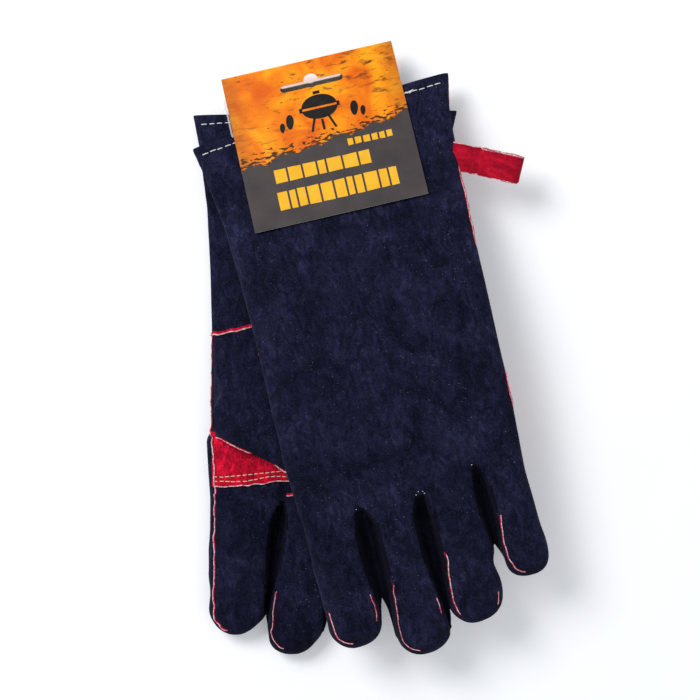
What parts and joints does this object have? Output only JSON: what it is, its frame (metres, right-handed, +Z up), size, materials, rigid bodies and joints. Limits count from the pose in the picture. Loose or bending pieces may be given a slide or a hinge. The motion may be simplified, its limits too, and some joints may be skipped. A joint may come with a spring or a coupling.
{
  "type": "heat resistant glove pair",
  "caption": "Pair of lined suede gauntlet gloves for grilling, packed palm to palm under a folded header card with a hang slot.",
  "frame": {"origin": "bottom centre of the pair's box, on the surface it lies on", "axes": "+Z up away from the surface, -Y towards the fingertips, +Y towards the cuffs, +X to the side of the hang loop"},
  "size_m": [0.2268, 0.3978, 0.059],
  "materials": {
    "black_suede": "napped suede, matte",
    "red_suede": "napped suede, matte",
    "cotton_lining": "brushed cotton",
    "printed_card": "coated, glossy",
    "clear_nylon": "clear, glossy"
  },
  "bodies": {
    "right_cuff": {"right_cuff_back": "black_suede", "right_cuff_palm": "black_suede", "right_cuff_lining": "cotton_lining", "right_wrist_welt": "red_suede", "card_back": "printed_card"},
    "right_hand": {"right_hand_back": "black_suede", "right_palm": "black_suede", "right_hand_lining": "cotton_lining", "right_thumb_wing": "black_suede", "right_palm_patch": "red_suede"},
    "right_thumb": {"right_thumb_back": "black_suede", "right_thumb_front": "black_suede", "right_thumb_lining": "cotton_lining"},
    "right_index": {"right_index_back": "black_suede", "right_index_fourchette": "black_suede", "right_index_front": "black_suede", "right_index_lining": "cotton_lining"},
    "right_middle": {"right_middle_back": "black_suede", "right_middle_fourchette": "black_suede", "right_middle_front": "black_suede", "right_middle_lining": "cotton_lining"},
    "right_ring": {"right_ring_back": "black_suede", "right_ring_fourchette": "black_suede", "right_ring_front": "black_suede", "right_ring_lining": "cotton_lining"},
    "right_little": {"right_little_back": "black_suede", "right_little_fourchette": "black_suede", "right_little_front": "black_suede", "right_little_lining": "cotton_lining"},
    "left_cuff": {"left_cuff_back": "black_suede", "left_cuff_palm": "black_suede", "left_cuff_lining": "cotton_lining", "left_wrist_welt": "red_suede"},
    "left_hand": {"left_hand_back": "black_suede", "left_palm": "black_suede", "left_hand_lining": "cotton_lining", "left_thumb_wing": "black_suede", "left_palm_patch": "red_suede"},
    "left_thumb": {"left_thumb_back": "black_suede", "left_thumb_front": "black_suede", "left_thumb_lining": "cotton_lining"},
    "left_index": {"left_index_back": "black_suede", "left_index_fourchette": "black_suede", "left_index_front": "black_suede", "left_index_lining": "cotton_lining"},
    "left_middle": {"left_middle_back": "black_suede", "left_middle_fourchette": "black_suede", "left_middle_front": "black_suede", "left_middle_lining": "cotton_lining"},
    "left_ring": {"left_ring_back": "black_suede", "left_ring_fourchette": "black_suede", "left_ring_front": "black_suede", "left_ring_lining": "cotton_lining"},
    "left_little": {"left_little_back": "black_suede", "left_little_fourchette": "black_suede", "left_little_front": "black_suede", "left_little_lining": "cotton_lining"},
    "card_front": {"card_front": "printed_card", "tag_loop": "clear_nylon"},
    "hang_loop": {"hang_loop": "red_suede"}
  },
  "joints": [
    {"name": "pair_open", "type": "hinge", "parent": "right_cuff", "child": "left_cuff", "pos_m": [-0.02951, 0.15289, 0.02048], "axis": [-0.9684, -0.2495, 0], "range_deg": [0, 75]},
    {"name": "card_fold", "type": "hinge", "parent": "right_cuff", "child": "card_front", "pos_m": [-0.04022, 0.18639, 0.01966], "axis": [-0.9746, -0.2241, 0], "range_deg": [0, 75]},
    {"name": "right_wrist", "type": "hinge", "parent": "right_cuff", "child": "right_hand", "pos_m": [-0.02432, 0.01545, 0.018], "axis": [-0.9998, -0.0183, 0], "range_deg": [0, 15]},
    {"name": "left_wrist", "type": "hinge", "parent": "left_cuff", "child": "left_hand", "pos_m": [0.00465, 0.02033, 0.041], "axis": [0.9684, 0.2495, 0], "range_deg": [0, 15]},
    {"name": "right_index_curl", "type": "hinge", "parent": "right_hand", "child": "right_index", "pos_m": [-0.08204, -0.09862, 0.018], "axis": [-0.9998, -0.0183, 0], "range_deg": [0, 51]},
    {"name": "left_index_curl", "type": "hinge", "parent": "left_hand", "child": "left_index", "pos_m": [-0.02506, -0.10402, 0.041], "axis": [0.9684, 0.2495, 0], "range_deg": [0, 51]},
    {"name": "right_middle_curl", "type": "hinge", "parent": "right_hand", "child": "right_middle", "pos_m": [-0.04325, -0.09791, 0.018], "axis": [-0.9998, -0.0183, 0], "range_deg": [0, 54]},
    {"name": "left_middle_curl", "type": "hinge", "parent": "left_hand", "child": "left_middle", "pos_m": [0.01251, -0.09434, 0.041], "axis": [0.9684, 0.2495, 0], "range_deg": [0, 54]},
    {"name": "right_ring_curl", "type": "hinge", "parent": "right_hand", "child": "right_ring", "pos_m": [-0.00525, -0.09722, 0.018], "axis": [-0.9998, -0.0183, 0], "range_deg": [0, 57]},
    {"name": "left_ring_curl", "type": "hinge", "parent": "left_hand", "child": "left_ring", "pos_m": [0.04931, -0.08485, 0.041], "axis": [0.9684, 0.2495, 0], "range_deg": [0, 57]},
    {"name": "right_little_curl", "type": "hinge", "parent": "right_hand", "child": "right_little", "pos_m": [0.03024, -0.09657, 0.018], "axis": [-0.9998, -0.0183, 0], "range_deg": [0, 60]},
    {"name": "left_little_curl", "type": "hinge", "parent": "left_hand", "child": "left_little", "pos_m": [0.08369, -0.076, 0.041], "axis": [0.9684, 0.2495, 0], "range_deg": [0, 60]},
    {"name": "right_thumb_lift", "type": "hinge", "parent": "right_hand", "child": "right_thumb", "pos_m": [-0.08626, -0.04319, 0.0292], "axis": [-0.4423, -0.8969, 0], "range_deg": [0, 45]},
    {"name": "left_thumb_lift", "type": "hinge", "parent": "left_hand", "child": "left_thumb", "pos_m": [-0.04201, -0.05107, 0.0298], "axis": [0.2224, 0.975, 0], "range_deg": [0, 45]},
    {"name": "loop_flap", "type": "hinge", "parent": "left_cuff", "child": "hang_loop", "pos_m": [0.06207, 0.12116, 0.03263], "axis": [-0.225, -0.9744, 0], "range_deg": [-20, 85]}
  ],
  "couplings": [
    {"joint": "card_fold", "follows": "pair_open", "ratio": 1},
    {"joint": "right_wrist", "follows": "pair_open", "ratio": 0.2},
    {"joint": "left_wrist", "follows": "pair_open", "ratio": 0.2},
    {"joint": "right_index_curl", "follows": "pair_open", "ratio": 0.68},
    {"joint": "left_index_curl", "follows": "pair_open", "ratio": 0.68},
    {"joint": "right_middle_curl", "follows": "pair_open", "ratio": 0.72},
    {"joint": "left_middle_curl", "follows": "pair_open", "ratio": 0.72},
    {"joint": "right_ring_curl", "follows": "pair_open", "ratio": 0.76},
    {"joint": "left_ring_curl", "follows": "pair_open", "ratio": 0.76},
    {"joint": "right_little_curl", "follows": "pair_open", "ratio": 0.8},
    {"joint": "left_little_curl", "follows": "pair_open", "ratio": 0.8},
    {"joint": "right_thumb_lift", "follows": "pair_open", "ratio": 0.6},
    {"joint": "left_thumb_lift", "follows": "pair_open", "ratio": 0.6}
  ]
}
